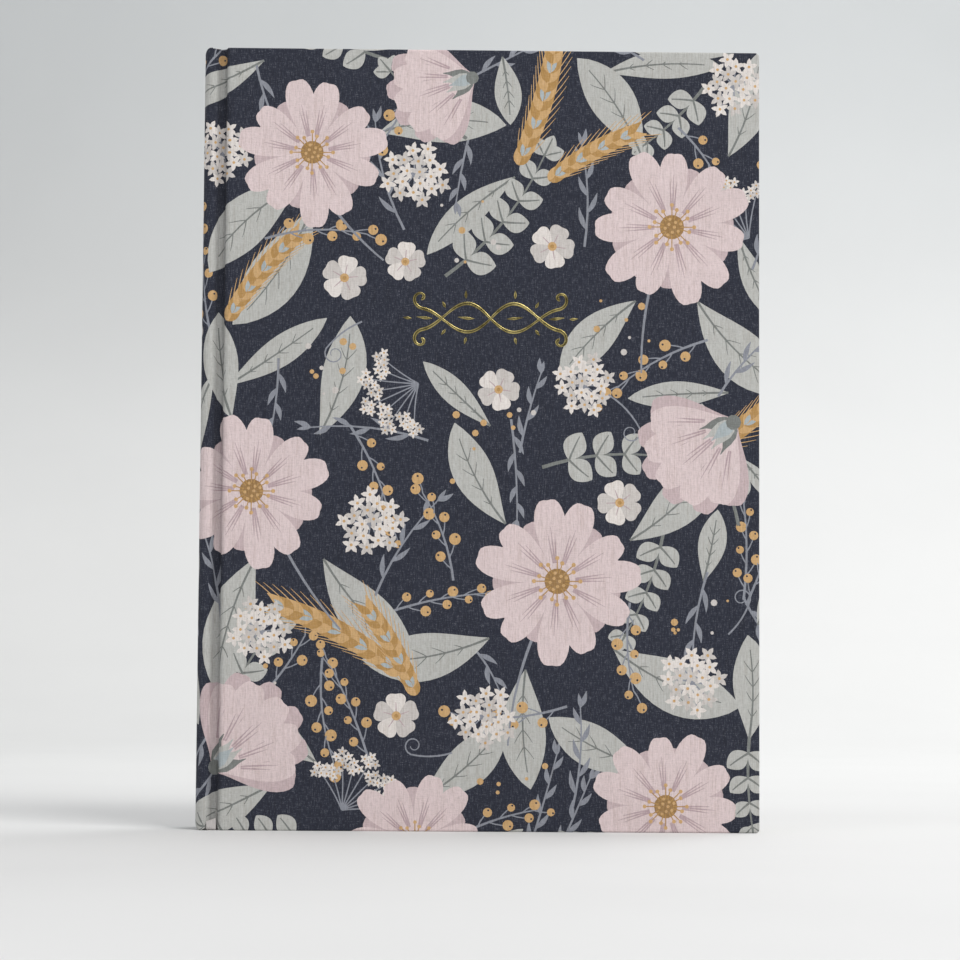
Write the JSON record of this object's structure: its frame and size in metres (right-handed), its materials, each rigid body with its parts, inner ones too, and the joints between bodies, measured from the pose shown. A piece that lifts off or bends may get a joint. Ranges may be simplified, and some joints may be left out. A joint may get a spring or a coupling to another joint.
{
  "type": "recipe book",
  "caption": "Hardcover recipe notebook in printed cloth, with hinged covers, turning sewn sections, endpapers, headbands and a ribbon marker.",
  "frame": {"origin": "centre of the footprint, on the surface that the book's tail stands on", "axes": "+X from the spine to the fore-edge, +Y from the front cover to the back cover, +Z from tail to head"},
  "size_m": [0.2162, 0.0274, 0.303],
  "materials": {
    "printed_cloth": "fine linen-weave book cloth, navy with a printed floral pattern, matt",
    "gold_foil": "thin gold foil, hot-blocked into the cloth",
    "greyboard": "pressed grey binder's board",
    "endpaper": "uncoated heavy cartridge paper",
    "page_paper": "uncoated cream text paper with plain ruled lines",
    "mull": "open cotton gauze",
    "kraft_lining": "brown kraft paper",
    "sewing_tape": "woven cotton tape",
    "headband": "thread wound over a cord, in two colours",
    "ribbon": "pale grey satin ribbon"
  },
  "bodies": {
    "spine_and_block": {"spine_board": "greyboard", "spine_cloth": "printed_cloth", "spine_lining": "kraft_lining", "spine_mull": "mull", "sewing_tape_1": "sewing_tape", "sewing_tape_2": "sewing_tape", "sewing_tape_3": "sewing_tape", "sewing_tape_4": "sewing_tape", "headband": "headband", "tailband": "headband", "ribbon_marker": "ribbon", "front_flyleaf_fold": "endpaper", "back_flyleaf_fold": "endpaper", "section_01_fold": "page_paper", "section_02_fold": "page_paper", "section_03_fold": "page_paper", "section_04_fold": "page_paper", "section_09_fold": "page_paper", "section_10_fold": "page_paper", "section_11_fold": "page_paper", "section_12_fold": "page_paper", "section_05": "page_paper", "section_06": "page_paper", "section_07": "page_paper", "section_08": "page_paper"},
    "front_cover": {"front_board": "greyboard", "front_cloth": "printed_cloth", "front_mull": "mull", "front_pastedown": "endpaper"},
    "front_flyleaf_leaf": {"front_flyleaf": "endpaper"},
    "back_cover": {"back_board": "greyboard", "back_cloth": "printed_cloth", "back_mull": "mull", "back_pastedown": "endpaper"},
    "back_flyleaf_leaf": {"back_flyleaf": "endpaper"},
    "section_01_leaves": {"section_01": "page_paper"},
    "section_02_leaves": {"section_02": "page_paper"},
    "section_03_leaves": {"section_03": "page_paper"},
    "section_04_leaves": {"section_04": "page_paper"},
    "section_09_leaves": {"section_09": "page_paper"},
    "section_10_leaves": {"section_10": "page_paper"},
    "section_11_leaves": {"section_11": "page_paper"},
    "section_12_leaves": {"section_12": "page_paper"}
  },
  "joints": [
    {"name": "front_cover_hinge", "type": "hinge", "parent": "spine_and_block", "child": "front_cover", "pos_m": [-0.10477, -0.01045, 0.1515], "axis": [0, 0, -1], "range_deg": [0, 179.5]},
    {"name": "front_flyleaf_turn", "type": "hinge", "parent": "spine_and_block", "child": "front_flyleaf_leaf", "pos_m": [-0.10477, -0.01045, 0.1515], "axis": [0, 0, -1], "range_deg": [0, 172.8]},
    {"name": "section_01_turn", "type": "hinge", "parent": "spine_and_block", "child": "section_01_leaves", "pos_m": [-0.10477, -0.01045, 0.1515], "axis": [0, 0, -1], "range_deg": [0, 158.5]},
    {"name": "section_02_turn", "type": "hinge", "parent": "spine_and_block", "child": "section_02_leaves", "pos_m": [-0.10477, -0.01045, 0.1515], "axis": [0, 0, -1], "range_deg": [0, 136.9]},
    {"name": "section_03_turn", "type": "hinge", "parent": "spine_and_block", "child": "section_03_leaves", "pos_m": [-0.10477, -0.01045, 0.1515], "axis": [0, 0, -1], "range_deg": [0, 111.8]},
    {"name": "section_04_turn", "type": "hinge", "parent": "spine_and_block", "child": "section_04_leaves", "pos_m": [-0.10477, -0.01045, 0.1515], "axis": [0, 0, -1], "range_deg": [0, 83.1]},
    {"name": "back_cover_hinge", "type": "hinge", "parent": "spine_and_block", "child": "back_cover", "pos_m": [-0.10477, 0.01045, 0.1515], "axis": [0, 0, 1], "range_deg": [0, 179.5]},
    {"name": "back_flyleaf_turn", "type": "hinge", "parent": "spine_and_block", "child": "back_flyleaf_leaf", "pos_m": [-0.10477, 0.01045, 0.1515], "axis": [0, 0, 1], "range_deg": [0, 172.8]},
    {"name": "section_12_turn", "type": "hinge", "parent": "spine_and_block", "child": "section_12_leaves", "pos_m": [-0.10477, 0.01045, 0.1515], "axis": [0, 0, 1], "range_deg": [0, 158.5]},
    {"name": "section_11_turn", "type": "hinge", "parent": "spine_and_block", "child": "section_11_leaves", "pos_m": [-0.10477, 0.01045, 0.1515], "axis": [0, 0, 1], "range_deg": [0, 136.9]},
    {"name": "section_10_turn", "type": "hinge", "parent": "spine_and_block", "child": "section_10_leaves", "pos_m": [-0.10477, 0.01045, 0.1515], "axis": [0, 0, 1], "range_deg": [0, 111.8]},
    {"name": "section_09_turn", "type": "hinge", "parent": "spine_and_block", "child": "section_09_leaves", "pos_m": [-0.10477, 0.01045, 0.1515], "axis": [0, 0, 1], "range_deg": [0, 83.1]}
  ],
  "couplings": [
    {"joint": "front_flyleaf_turn", "follows": "front_cover_hinge", "ratio": 0.96},
    {"joint": "section_01_turn", "follows": "front_cover_hinge", "ratio": 0.88},
    {"joint": "section_02_turn", "follows": "front_cover_hinge", "ratio": 0.76},
    {"joint": "section_03_turn", "follows": "front_cover_hinge", "ratio": 0.62},
    {"joint": "section_04_turn", "follows": "front_cover_hinge", "ratio": 0.46},
    {"joint": "back_flyleaf_turn", "follows": "back_cover_hinge", "ratio": 0.96},
    {"joint": "section_12_turn", "follows": "back_cover_hinge", "ratio": 0.88},
    {"joint": "section_11_turn", "follows": "back_cover_hinge", "ratio": 0.76},
    {"joint": "section_10_turn", "follows": "back_cover_hinge", "ratio": 0.62},
    {"joint": "section_09_turn", "follows": "back_cover_hinge", "ratio": 0.46}
  ]
}
